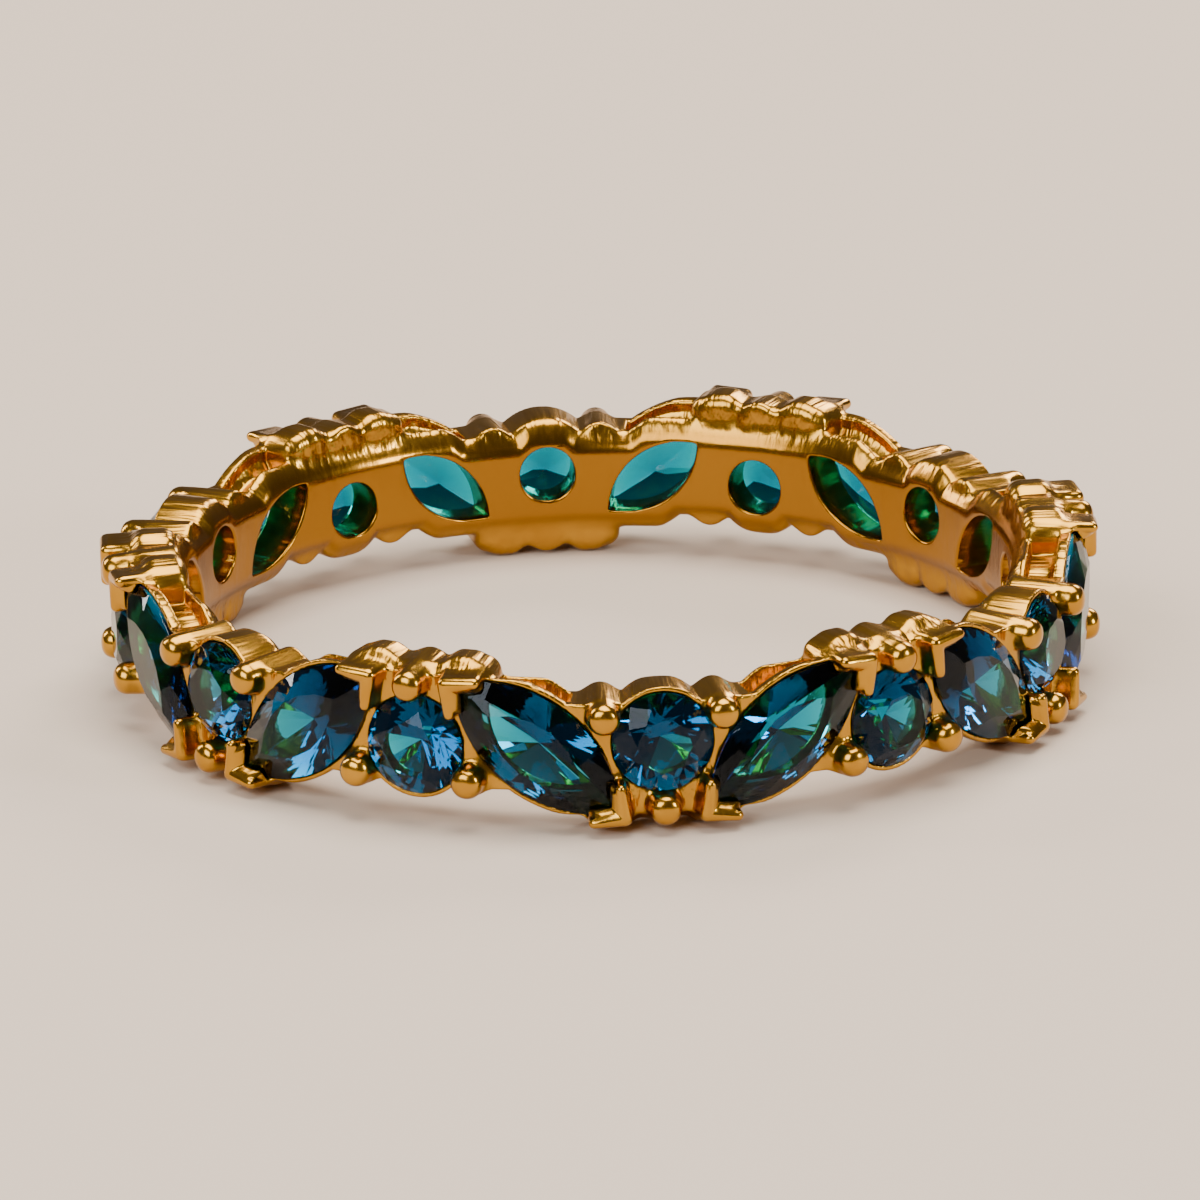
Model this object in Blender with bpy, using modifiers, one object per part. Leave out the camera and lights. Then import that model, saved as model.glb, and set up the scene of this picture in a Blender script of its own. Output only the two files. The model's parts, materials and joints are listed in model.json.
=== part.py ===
"""Full eternity ring: round and marquise stones in turn, in a wavy gold band with bead and V-shaped prongs.

Metres, +Z up. The ring lies on its side as it would by itself, with the finger's axis along Z, and its origin is on
that axis where the lowest prongs touch the surface. A round stone with its prong feet below it faces -Y.
Heights along the finger are measured from the ring's middle, and angles from the stone that faces -Y.
"""

import math

import bmesh
import bpy
from mathutils import Matrix, Vector

# The finger and the stones. A wave of the edge holds two rounds and two marquises.
FINGER_RADIUS = 0.00865
WAVES = 6
SETTING_DEPTH = 0.00129
ROUND_DIAMETER = 0.0021
MARQUISE_LENGTH = 0.0044
MARQUISE_WIDTH = 0.0020
MARQUISE_TILT = math.radians(38.2)
ROUND_SHIFT = 0.000095
STONE_GAP = 0.00009
STONE_CLEARANCE = 0.00003

# The cut of a stone, as shares of its width, and its edge
CROWN_SHARE = 0.155
PAVILION_SHARE = 0.42
TABLE_SHARE = 0.56
STAR_SHARE = 0.78
SEAT_TOP_SHARE = 0.70
LOWER_SHARE = 0.28
GIRDLE_EDGE = 0.00007
OUTLINE_POINTS = 16
FINE_OUTLINE_POINTS = 96

# The band
EDGE_WALL = 0.00012
WALL_DROP = 0.00002
LOW_EDGE_STEP = 0.00020
PEAK_STEP = 0.00033
INNER_PEAK_STEP = 0.00058
INNER_CHAMFER = 0.00030
WINDOW_SHARE = 0.55
SECTIONS_PER_STONE = 4

# The recesses beside the marquise stones
POCKET_DEPTH = 0.00030
POCKET_INNER_RAIL = 0.00043
POCKET_OUTER_RAIL = 0.00028
POCKET_FROM = 0.74
POCKET_TO = 1.33
POCKET_STEPS = 2

# The round prongs
BEAD_RADIUS = 0.00032
BEAD_GRIP = 0.00002
BEAD_SPLAY = 0.00010
BEAD_SWELL = 0.00005
BEAD_HEIGHT = 0.00064
BEAD_ANGLE = math.radians(27.5)
BEAD_DOME_SHARE = 0.80
BEAD_SHOULDER_SHARE = 0.60
BEAD_SHOULDER_DROP_SHARE = 0.16
BEAD_FOOT_SHARE = 0.55
BEAD_SIDES = 10

# The V-shaped prongs
V_ARM = 0.00062
V_BEHIND_TIP = 0.00023
V_OVER_TIP = 0.00012
V_OVER_EDGE = 0.00009
V_OUTSIDE_EDGE = 0.00005
V_HEIGHT = 0.00066
V_BEVEL = 0.00007
V_SPLAY = 0.00008
SHANK_OVER_TIP = 0.00024
FOOT_RISE = 0.00044
FOOT_DEPTH = 0.00080
SHANK_START = 0.00025
FOOT_CHAMFER = 0.00024

# What follows from the sizes above
ROUND_RADIUS = ROUND_DIAMETER / 2
HALF_LENGTH = MARQUISE_LENGTH / 2
HALF_WIDTH = MARQUISE_WIDTH / 2
STONES = 4 * WAVES
STONE_ANGLE = 2 * math.pi / STONES
ARC_RADIUS = (HALF_LENGTH**2 + HALF_WIDTH**2) / (2 * HALF_WIDTH)
TIP_HALF_ANGLE = math.asin(HALF_LENGTH / ARC_RADIUS)
TIP_ALONG = HALF_LENGTH * math.cos(MARQUISE_TILT)
TIP_HEIGHT = HALF_LENGTH * math.sin(MARQUISE_TILT)
BEAD_FROM_STONE = ROUND_RADIUS + BEAD_RADIUS - BEAD_GRIP
BEAD_FOOT = BEAD_FROM_STONE + BEAD_SPLAY + BEAD_RADIUS + BEAD_SWELL - ROUND_SHIFT
HALF_HEIGHT = max(TIP_HEIGHT + FOOT_RISE, BEAD_FOOT)
LOW_EDGE = ROUND_SHIFT + ROUND_RADIUS - LOW_EDGE_STEP
PEAK_EDGE = HALF_HEIGHT - PEAK_STEP
INNER_PEAK_EDGE = HALF_HEIGHT - INNER_PEAK_STEP


def arc_centre(side):
    """Centre of one of the two arcs of a marquise stone's outline, across its length."""
    return -side * (ARC_RADIUS - HALF_WIDTH)


def marquise_outline(points):
    """Points of the outline, anticlockwise from one tip, with the long way along X."""
    half = points // 2
    outline = []
    for side in (1, -1):
        for step in range(half):
            angle = TIP_HALF_ANGLE * (1 - 2 * step / half)
            along = side * ARC_RADIUS * math.sin(angle)
            across = arc_centre(side) + side * ARC_RADIUS * math.cos(angle)
            outline.append((along, across))
    return outline


def round_outline(points):
    turn = 2 * math.pi / points
    return [(ROUND_RADIUS * math.cos(i * turn), ROUND_RADIUS * math.sin(i * turn)) for i in range(points)]


def turn_by(point, angle):
    along, across = point
    cosine, sine = math.cos(angle), math.sin(angle)
    return (along * cosine - across * sine, along * sine + across * cosine)


def nearest_pitch():
    """Spacing of neighbouring stones that leaves the least gap between a round and a marquise."""
    turned = [turn_by(point, MARQUISE_TILT) for point in marquise_outline(FINE_OUTLINE_POINTS)]
    reach = ROUND_RADIUS + STONE_GAP
    pitch = 0.0
    for along, across in turned:
        offset = across - ROUND_SHIFT
        if abs(offset) < reach:
            pitch = max(pitch, math.sqrt(reach**2 - offset**2) - along)
    return pitch


# The row of stones moves outwards where the finger alone leaves too little room between them.
GIRDLE_RADIUS = max(FINGER_RADIUS + SETTING_DEPTH, nearest_pitch() / STONE_ANGLE)
STONE_PITCH = GIRDLE_RADIUS * STONE_ANGLE


def place(angle, radius, height):
    """Matrix of a piece on the ring: its X runs round the ring, its Y along the finger and its Z outwards."""
    around = Vector((math.cos(angle), math.sin(angle), 0))
    outward = Vector((math.sin(angle), -math.cos(angle), 0))
    matrix = Matrix((around, (0, 0, 1), outward)).transposed().to_4x4()
    matrix.translation = outward * radius + Vector((0, 0, height + HALF_HEIGHT))
    return matrix


def new_material(name, colour, metallic, roughness):
    material = bpy.data.materials.new(name)
    material.use_nodes = True
    shader = material.node_tree.nodes["Principled BSDF"]
    shader.inputs["Base Color"].default_value = (*colour, 1)
    shader.inputs["Metallic"].default_value = metallic
    shader.inputs["Roughness"].default_value = roughness
    material.diffuse_color = (*colour, 1)
    return material


def new_object(name, mesh, collection, matrix=None):
    made = bpy.data.objects.new(name, mesh)
    collection.objects.link(made)
    if matrix:
        made.matrix_world = matrix
    return made


def mesh_from(name, shape):
    bmesh.ops.recalc_face_normals(shape, faces=shape.faces)
    mesh = bpy.data.meshes.new(name)
    shape.to_mesh(mesh)
    shape.free()
    return mesh


def loft(name, sections, round_trip=False):
    """Mesh through closed sections of equally many points. A round trip joins the last section to the first."""
    shape = bmesh.new()
    rows = [[shape.verts.new(point) for point in section] for section in sections]
    pairs = list(zip(rows, rows[1:]))
    if round_trip:
        pairs.append((rows[-1], rows[0]))
    for near, far in pairs:
        for i in range(len(near)):
            shape.faces.new((near[i - 1], near[i], far[i], far[i - 1]))
    if not round_trip:
        shape.faces.new(rows[0])
        shape.faces.new(rows[-1])
    return mesh_from(name, shape)


def cut_stone(name, outline, width):
    """Brilliant-cut stone: a table, star, main and girdle facets above, and main and lower facets below.

    The stone's edge lies at Z = 0 and its table looks along +Z. The shape is convex, so its facets are those of the
    hull of its corners.
    """
    crown = CROWN_SHARE * width
    pavilion = PAVILION_SHARE * width
    edge = GIRDLE_EDGE / 2
    lean = math.cos(2 * math.pi / len(outline))
    star_height = edge + crown * (1 - STAR_SHARE * lean) / (1 - TABLE_SHARE)
    lower_depth = edge + pavilion * (1 - LOWER_SHARE * lean)
    shape = bmesh.new()
    for i, (along, across) in enumerate(outline):
        shape.verts.new((along, across, edge))
        shape.verts.new((along, across, -edge))
        if i % 2 == 0:
            shape.verts.new((TABLE_SHARE * along, TABLE_SHARE * across, edge + crown))
        else:
            shape.verts.new((STAR_SHARE * along, STAR_SHARE * across, star_height))
            shape.verts.new((LOWER_SHARE * along, LOWER_SHARE * across, -lower_depth))
    shape.verts.new((0, 0, -edge - pavilion))
    bmesh.ops.convex_hull(shape, input=shape.verts)
    return mesh_from(name, shape)


def seat_cutter(name, outline, width):
    """The room a stone needs, wider than the stone by its clearance, and the window behind it."""
    crown = CROWN_SHARE * width
    pavilion = PAVILION_SHARE * width
    edge = GIRDLE_EDGE / 2 + STONE_CLEARANCE
    more = STONE_CLEARANCE / (width / 2)
    levels = [
        (WINDOW_SHARE, -2 * (GIRDLE_RADIUS - FINGER_RADIUS)),
        (WINDOW_SHARE, -edge - pavilion * (1 - WINDOW_SHARE)),
        (1 + more, -edge),
        (1 + more, edge),
        (SEAT_TOP_SHARE + more, edge + crown),
    ]
    sections = [[(share * x, share * y, z) for x, y in outline] for share, z in levels]
    return loft(name, sections)


def top_edge(angle):
    """Height of the band's upper edge. It follows the stones, with a valley at angle 0 and a peak half a wave on."""
    wave = 4 * STONE_ANGLE
    folded = abs((angle + wave / 2) % wave - wave / 2)
    along = folded * GIRDLE_RADIUS
    edge = LOW_EDGE
    round_wall = ROUND_RADIUS + EDGE_WALL
    if along < round_wall:
        edge = max(edge, ROUND_SHIFT + math.sqrt(round_wall**2 - along**2))
    arc = ARC_RADIUS + EDGE_WALL
    arc_along = STONE_PITCH + (ARC_RADIUS - HALF_WIDTH) * math.sin(MARQUISE_TILT)
    arc_height = -(ARC_RADIUS - HALF_WIDTH) * math.cos(MARQUISE_TILT)
    from_arc = along - arc_along
    if along > STONE_PITCH + TIP_ALONG:
        return PEAK_EDGE
    if abs(from_arc) < arc:
        edge = max(edge, arc_height + math.sqrt(arc**2 - from_arc**2))
    return min(edge, PEAK_EDGE)


def bottom_edge(angle):
    return -top_edge(angle + 2 * STONE_ANGLE)


def outer_face(angle):
    """Radius of the band's outer face, just under the flat planes of the stones' edges."""
    off_centre = (angle + STONE_ANGLE / 2) % STONE_ANGLE - STONE_ANGLE / 2
    return GIRDLE_RADIUS / math.cos(off_centre) - WALL_DROP


def ring_point(angle, radius, height):
    return place(angle, radius, height).translation


def band_mesh():
    count = STONES * SECTIONS_PER_STONE
    sections = []
    for i in range(count):
        angle = 2 * math.pi * i / count
        top = top_edge(angle)
        bottom = bottom_edge(angle)
        inner_top = min(top, INNER_PEAK_EDGE)
        inner_bottom = max(bottom, -INNER_PEAK_EDGE)
        corners = (
            (FINGER_RADIUS, inner_bottom + INNER_CHAMFER),
            (FINGER_RADIUS, inner_top - INNER_CHAMFER),
            (FINGER_RADIUS + INNER_CHAMFER, inner_top),
            (outer_face(angle), top),
            (outer_face(angle), bottom),
            (FINGER_RADIUS + INNER_CHAMFER, inner_bottom),
        )
        sections.append([ring_point(angle, radius, height) for radius, height in corners])
    return loft("band", sections, round_trip=True)


def pocket_mesh(centre, side, flip):
    """One recess in the band's edge beside a marquise stone, above it for flip 1 and below it for flip -1."""
    sections = []
    for step in range(POCKET_STEPS + 1):
        share = POCKET_FROM + (POCKET_TO - POCKET_FROM) * step / POCKET_STEPS
        angle = share * STONE_ANGLE
        floor = top_edge(angle) - POCKET_DEPTH
        inner = FINGER_RADIUS + POCKET_INNER_RAIL
        outer = GIRDLE_RADIUS - POCKET_OUTER_RAIL
        over = HALF_HEIGHT + POCKET_DEPTH
        corners = ((inner, floor), (outer, floor), (outer, over), (inner, over))
        turned = centre + side * angle
        sections.append([ring_point(turned, radius, flip * height) for radius, height in corners])
    return loft("pocket", sections)


def bead_mesh(length):
    """Round prong along +Z from the band's inside, with a domed head, as half a profile turned by a Screw."""
    foot = BEAD_RADIUS + BEAD_SWELL
    profile = [
        (0, length),
        (BEAD_RADIUS * BEAD_SHOULDER_SHARE, length - BEAD_RADIUS * BEAD_SHOULDER_DROP_SHARE),
        (BEAD_RADIUS, length - BEAD_RADIUS * BEAD_DOME_SHARE),
        (foot, foot),
        (foot * BEAD_FOOT_SHARE, 0),
        (0, 0),
    ]
    mesh = bpy.data.meshes.new("bead_prong")
    corners = [(x, 0, z) for x, z in profile]
    mesh.from_pydata(corners, [(i, i + 1) for i in range(len(corners) - 1)], [])
    return mesh


def add_bead(name, mesh, collection, foot, head):
    direction = head - foot
    matrix = direction.to_track_quat("Z", "Y").to_matrix().to_4x4()
    matrix.translation = foot
    prong = new_object(name, mesh, collection, matrix)
    screw = prong.modifiers.new("turn", "SCREW")
    screw.steps = BEAD_SIDES
    screw.render_steps = BEAD_SIDES
    screw.use_merge_vertices = True
    screw.merge_threshold = 0.000001
    return prong


def bead_spots(flip):
    """The three round prongs of a round stone in a valley (flip 1) or on a peak (flip -1), as directions from it."""
    beside = flip * BEAD_ANGLE
    return (beside, math.pi - beside, -flip * math.pi / 2)


def bead_ends(centre, flip, direction):
    ends = []
    for radius, distance in (
        (FINGER_RADIUS + SHANK_START, BEAD_FROM_STONE + BEAD_SPLAY),
        (GIRDLE_RADIUS + BEAD_HEIGHT, BEAD_FROM_STONE),
    ):
        along = distance * math.cos(direction)
        height = flip * ROUND_SHIFT + distance * math.sin(direction)
        ends.append(ring_point(centre + along / GIRDLE_RADIUS, radius, height))
    return ends


def v_outline(splay, spread, over_tip):
    """Chevron over a marquise tip, from the tip as origin: X towards the stone's middle, Y across it."""
    along, across = math.cos(TIP_HALF_ANGLE), math.sin(TIP_HALF_ANGLE)
    outside = V_OUTSIDE_EDGE + spread
    outer = (V_ARM * along - outside * across, V_ARM * across + outside * along)
    inner = (V_ARM * along + V_OVER_EDGE * across, V_ARM * across - V_OVER_EDGE * along)
    back = V_BEHIND_TIP + spread
    chevron = [(-back, 0), outer, inner, (over_tip, 0), (inner[0], -inner[1]), (outer[0], -outer[1])]
    return [(x - splay, y) for x, y in chevron]


def v_prong_mesh(centre, side, flip):
    """Loft of one V prong, from its shank at the band's inside to its head over the marquise tip.

    The prong stands beside the round stone at this centre, on its right (side 1) or left (side -1), with its foot up
    (flip 1) or down (flip -1).
    """
    inset = -V_BEVEL
    head = GIRDLE_RADIUS + V_HEIGHT
    shank = FINGER_RADIUS + SHANK_START
    levels = (
        (shank, V_SPLAY, 0.0, SHANK_OVER_TIP, HALF_HEIGHT - FOOT_CHAMFER),
        (shank + FOOT_CHAMFER, V_SPLAY, 0.0, SHANK_OVER_TIP, HALF_HEIGHT),
        (shank + FOOT_DEPTH, V_SPLAY, 0.0, SHANK_OVER_TIP, HALF_HEIGHT),
        (head - V_BEVEL, 0.0, 0.0, V_OVER_TIP, None),
        (head, 0.0, inset, V_OVER_TIP + inset / 2, None),
    )
    tip_along = STONE_PITCH - TIP_ALONG
    tip_angle = centre + side * tip_along / GIRDLE_RADIUS
    sections = []
    for radius, splay, spread, over_tip, foot in levels:
        frame = place(tip_angle, radius, 0)
        section = []
        for i, point in enumerate(v_outline(splay, spread, over_tip)):
            along, across = turn_by(point, -MARQUISE_TILT)
            height = TIP_HEIGHT + across
            if foot is not None and i < 2:
                height = foot
            section.append(frame @ Vector((side * along, flip * height, 0)))
        sections.append(section)
    return loft("v_prong", sections)


def boolean(target, operation, collection):
    cut = target.modifiers.new(collection.name, "BOOLEAN")
    cut.operation = operation
    cut.operand_type = "COLLECTION"
    cut.collection = collection
    cut.solver = "EXACT"
    cut.use_self = operation == "UNION"


def hide_helpers(collection):
    for helper in collection.objects:
        helper.hide_render = True
        helper.display_type = "WIRE"


def new_collection(name):
    made = bpy.data.collections.new(name)
    bpy.context.scene.collection.children.link(made)
    return made


def clear_scene():
    for existing in list(bpy.data.objects):
        bpy.data.objects.remove(existing, do_unlink=True)


def main():
    clear_scene()
    ring = new_collection("birthstone_ring")
    prongs = new_collection("prongs")
    pockets = new_collection("pockets")
    seats = new_collection("seats")

    gold = new_material("polished_gold", (0.86, 0.55, 0.20), 1.0, 0.16)
    blue = new_material("blue_teal_stone", (0.01, 0.16, 0.27), 0.0, 0.03)

    band = new_object("band", band_mesh(), ring)
    band.data.materials.append(gold)

    round_points = round_outline(OUTLINE_POINTS)
    marquise_points = marquise_outline(OUTLINE_POINTS)
    round_mesh = cut_stone("round_stone", round_points, ROUND_DIAMETER)
    marquise_mesh = cut_stone("marquise_stone", marquise_points, MARQUISE_WIDTH)
    for mesh in (round_mesh, marquise_mesh):
        mesh.materials.append(blue)
    round_seat = seat_cutter("round_seat", round_points, ROUND_DIAMETER)
    marquise_seat = seat_cutter("marquise_seat", marquise_points, MARQUISE_WIDTH)

    lower_end, upper_end = bead_ends(0, 1, -math.pi / 2)
    bead = bead_mesh((upper_end - lower_end).length)

    for i in range(STONES // 2):
        number = f"{i + 1:02d}"
        centre = 2 * i * STONE_ANGLE
        flip = 1 if i % 2 == 0 else -1

        here = place(centre, GIRDLE_RADIUS, flip * ROUND_SHIFT)
        new_object(f"round_stone_{number}", round_mesh, ring, here)
        new_object(f"round_seat_{number}", round_seat, seats, here)

        lean = Matrix.Rotation(flip * MARQUISE_TILT, 4, "Z")
        there = place(centre + STONE_ANGLE, GIRDLE_RADIUS, 0) @ lean
        new_object(f"marquise_stone_{number}", marquise_mesh, ring, there)
        new_object(f"marquise_seat_{number}", marquise_seat, seats, there)

        for direction in bead_spots(flip):
            foot, head = bead_ends(centre, flip, direction)
            add_bead(f"bead_prong_{number}", bead, prongs, foot, head)
        for side in (1, -1):
            new_object(f"v_prong_{number}", v_prong_mesh(centre, side, -flip), prongs)
            new_object(f"pocket_{number}", pocket_mesh(centre, side, flip), pockets)

    boolean(band, "UNION", prongs)
    boolean(band, "DIFFERENCE", seats)
    boolean(band, "DIFFERENCE", pockets)
    for helpers in (prongs, pockets, seats):
        hide_helpers(helpers)


main()
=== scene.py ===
# %% [markdown]
# # A birthstone ring in Blender
# A full eternity ring: twelve round and twelve marquise stones sit in turn in a wavy band of polished yellow gold,
# held by round bead prongs and V-shaped prongs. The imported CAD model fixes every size. This lesson builds the two
# things that CAD leaves plain, which are the soft, fused look of cast gold and the real facets of the stones.

import json
import math

import bmesh
import bpy
import numpy as np
from mathutils import Matrix, Vector

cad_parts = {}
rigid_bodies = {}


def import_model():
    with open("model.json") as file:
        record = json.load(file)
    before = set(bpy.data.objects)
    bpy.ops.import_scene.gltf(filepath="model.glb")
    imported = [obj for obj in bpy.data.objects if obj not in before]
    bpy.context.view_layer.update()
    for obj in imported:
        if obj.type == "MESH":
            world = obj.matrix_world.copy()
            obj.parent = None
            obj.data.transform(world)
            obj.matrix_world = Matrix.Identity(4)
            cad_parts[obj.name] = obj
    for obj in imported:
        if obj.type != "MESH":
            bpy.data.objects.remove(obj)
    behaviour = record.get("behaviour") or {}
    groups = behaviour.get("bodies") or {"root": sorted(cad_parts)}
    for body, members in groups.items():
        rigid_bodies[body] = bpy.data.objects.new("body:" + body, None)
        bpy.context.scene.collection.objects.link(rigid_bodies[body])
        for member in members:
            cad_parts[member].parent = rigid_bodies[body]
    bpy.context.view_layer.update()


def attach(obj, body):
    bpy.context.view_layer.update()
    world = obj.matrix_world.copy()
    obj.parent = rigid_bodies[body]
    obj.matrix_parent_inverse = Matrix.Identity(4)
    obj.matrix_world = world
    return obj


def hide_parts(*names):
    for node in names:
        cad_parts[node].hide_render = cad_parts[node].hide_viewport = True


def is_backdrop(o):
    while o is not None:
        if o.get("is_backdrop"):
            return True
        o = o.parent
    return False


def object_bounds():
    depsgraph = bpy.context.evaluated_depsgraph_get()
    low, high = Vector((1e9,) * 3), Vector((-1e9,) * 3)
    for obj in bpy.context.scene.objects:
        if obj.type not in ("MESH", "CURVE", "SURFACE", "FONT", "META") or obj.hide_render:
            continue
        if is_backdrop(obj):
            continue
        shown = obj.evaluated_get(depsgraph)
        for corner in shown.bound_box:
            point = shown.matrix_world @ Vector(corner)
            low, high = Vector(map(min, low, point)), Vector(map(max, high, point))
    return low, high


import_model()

# %% [markdown]
# ## The ring's sizes
# All lengths here are in millimetres, as a jeweller gives them, and they are the CAD model's own sizes. Heights run
# along the finger from the ring's middle, and angles go round it from the stone that faces the camera. The ring
# lies on its side, so the finger's axis is Blender's Z. A marquise is measured by half its length and half its width,
# and its outline is two arcs of one radius.

# %% Sizes of the ring
MM = 0.001
FINGER_RADIUS = 8.65
GIRDLE_RADIUS = 9.94
STONES = 24
STONE_ANGLE = 2 * math.pi / STONES
STONE_PITCH = GIRDLE_RADIUS * STONE_ANGLE
ROUND_RADIUS = 1.05
ROUND_SHIFT = 0.095
HALF_LENGTH = 2.2
HALF_WIDTH = 1.0
TILT = math.radians(38.2)
ARC_RADIUS = (HALF_LENGTH**2 + HALF_WIDTH**2) / (2 * HALF_WIDTH)
ARC_OFFSET = ARC_RADIUS - HALF_WIDTH
TIP_HALF_ANGLE = math.asin(HALF_LENGTH / ARC_RADIUS)
TIP_ALONG = HALF_LENGTH * math.cos(TILT)
TIP_HEIGHT = HALF_LENGTH * math.sin(TILT)
FOOT_RISE = 0.44
HALF_HEIGHT = TIP_HEIGHT + FOOT_RISE
print("stone pitch", round(STONE_PITCH, 3), "mm, half height", round(HALF_HEIGHT, 3), "mm")


# %% [markdown]
# ## Colours and nodes
# A colour is easiest to read as the hex value of a paint program, which is sRGB. Shaders work in linear light, so
# one function turns hex into linear. One more function adds a node with its settings and its links, because every
# material here is a small tree of nodes, and so is the tree that sets the stones.

# %% Helpers for colours and nodes
def linear(hex_colour):
    parts = [int(hex_colour[i : i + 2], 16) / 255 for i in (1, 3, 5)]
    return (*[p / 12.92 if p <= 0.04045 else ((p + 0.055) / 1.055) ** 2.4 for p in parts], 1.0)


def add_node(tree, kind, **given):
    """Adds a node. Each name is a property, an input with _ for a space, or i and an input's number. What is given
    is a value, another node's output, or a node that stands for its first output."""
    node = tree.nodes.new(kind)
    for name, value in given.items():
        if hasattr(node, name):
            setattr(node, name, value)
            continue
        socket = node.inputs[int(name[1:])] if name[1:].isdigit() else node.inputs[name.replace("_", " ")]
        if isinstance(value, bpy.types.Node):
            value = value.outputs[0]
        if isinstance(value, bpy.types.NodeSocket):
            tree.links.new(value, socket)
        else:
            socket.default_value = value
    return node


def new_material(name):
    material = bpy.data.materials.new(name)
    material.use_nodes = True
    material.node_tree.nodes.clear()
    return material, material.node_tree


print("a grey of #808080 is", round(linear("#808080")[0], 3), "in linear light")


# %% [markdown]
# ## Where a spot lies on the gold
# The gold's pattern could read plain Object coordinates, and its waves do. Its streaks are different: they run from
# the finger side outwards, the way the metal is filed and polished between the prongs. So they read a spot's place
# on a cylinder through the stones, which is the same at every radius. The radius only moves them on slowly, as the
# fourth dimension of the noise, and flattening the height draws them out along the finger too.

# %% Spots on the gold
STREAKS_BY_HEIGHT = 0.45
STREAKS_BY_RADIUS = 0.09


def spots_on_the_gold(tree):
    """A spot's place in mm, its radius, its place on the cylinder, and the slow change with the radius."""
    object_place = add_node(tree, "ShaderNodeTexCoord").outputs["Object"]
    place = add_node(tree, "ShaderNodeMapping", Scale=(1 / MM, 1 / MM, 1 / MM), Vector=object_place)
    axes = add_node(tree, "ShaderNodeSeparateXYZ", Vector=place)
    flat = add_node(tree, "ShaderNodeCombineXYZ", X=axes.outputs["X"], Y=axes.outputs["Y"])
    radius = add_node(tree, "ShaderNodeVectorMath", operation="LENGTH", i0=flat).outputs["Value"]
    outwards = add_node(tree, "ShaderNodeVectorMath", operation="NORMALIZE", i0=flat)
    on_cylinder = add_node(tree, "ShaderNodeVectorMath", operation="SCALE", i0=outwards, Scale=GIRDLE_RADIUS)
    height = add_node(tree, "ShaderNodeMath", operation="MULTIPLY", i0=axes.outputs["Z"], i1=STREAKS_BY_HEIGHT)
    upwards = add_node(tree, "ShaderNodeCombineXYZ", Z=height)
    skin = add_node(tree, "ShaderNodeVectorMath", operation="ADD", i0=on_cylinder, i1=upwards)
    change = add_node(tree, "ShaderNodeMath", operation="MULTIPLY", i0=radius, i1=STREAKS_BY_RADIUS)
    return place, radius, skin, change


print("streaks change", round(1 / STREAKS_BY_RADIUS), "times more slowly outwards than round the ring")


# %% [markdown]
# ## Polished cast gold
# The band is yellow gold, cast in one piece from a wax model and polished by hand. Casting leaves slow waves in the
# surface. The polishing wheel reaches the front of the prongs and the finger side, where it leaves only fine lines
# that a loupe can see. It hardly reaches the tops between them, so streaks stay there and break the highlights up.
# The colour of a metal is its reflection, so it sits in Base Color with Metallic at 1. On the finger side it is
# painted deeper, a painted reflection in place of gold mirroring gold. The IOR stays at its default, as for any
# metal.

# %% Relief of the gold
CAST_WAVE_MM = 0.9
STREAK_MM = 0.26
POLISH_LINE_MM = 0.06  # coarser than the real lines, which would be too fine to show
# How much of the streaks the wheel leaves in front and on the finger side, by the radius in mm
STREAKS_IN_FRONT = {"From_Min": 9.9, "From_Max": 10.25, "To_Min": 1.0, "To_Max": 0.12}
STREAKS_ON_FINGER_SIDE = {"From_Min": 8.70, "From_Max": 9.0, "To_Min": 0.10, "To_Max": 1.0}


def gold_relief(tree):
    """The waves, streaks and polishing lines of the gold, with what is left unpolished and the radius."""
    place, radius, skin, change = spots_on_the_gold(tree)
    waves = add_node(tree, "ShaderNodeTexNoise", Scale=1 / CAST_WAVE_MM, Detail=2.0, Vector=place)
    streaks = add_node(
        tree, "ShaderNodeTexNoise", noise_dimensions="4D", Scale=1 / STREAK_MM, Detail=2.5, Distortion=0.25,
        Vector=skin, W=change,
    )
    lines = add_node(
        tree, "ShaderNodeTexNoise", noise_dimensions="4D", Scale=1 / POLISH_LINE_MM, Detail=3.0,
        Vector=skin, W=change,
    )
    front = add_node(tree, "ShaderNodeMapRange", interpolation_type="SMOOTHSTEP", Value=radius, **STREAKS_IN_FRONT)
    finger_side = add_node(
        tree, "ShaderNodeMapRange", interpolation_type="SMOOTHSTEP", Value=radius, **STREAKS_ON_FINGER_SIDE
    )
    unpolished = add_node(tree, "ShaderNodeMath", operation="MULTIPLY", i0=front, i1=finger_side)
    left_streaks = add_node(tree, "ShaderNodeMath", operation="MULTIPLY", i0=streaks, i1=unpolished)
    return waves, left_streaks, lines, unpolished, radius


print("relief: waves of", CAST_WAVE_MM, "mm, streaks of", STREAK_MM, "mm, polishing lines of", POLISH_LINE_MM, "mm")

# %% Material of the band
GOLD_COLOUR = "#CC9B39"
GOLD_DEEP = "#AE7A22"
# Painted reflection: a deeper gold painted into the base colour on the finger side, in place of gold mirroring gold
GOLD_PAINTED_REFLECTION = "#9C6C20"
PAINTED_REFLECTION_BY_RADIUS = {"From_Min": 8.70, "From_Max": 8.95, "To_Min": 1.0, "To_Max": 0.0}  # by the radius in mm
ROUGHNESS_OF_LINES = {"To_Min": 0.15, "To_Max": 0.26}
ROUGHNESS_OF_STREAKS = {"To_Min": 0.0, "To_Max": 0.04}
CAST_DEPTH_MM = 0.03
CAST_STRENGTH = 0.35
STREAK_DEPTH_MM = 0.075
POLISH_DEPTH_MM = 0.004
POLISH_STRENGTH = 0.12


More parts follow.
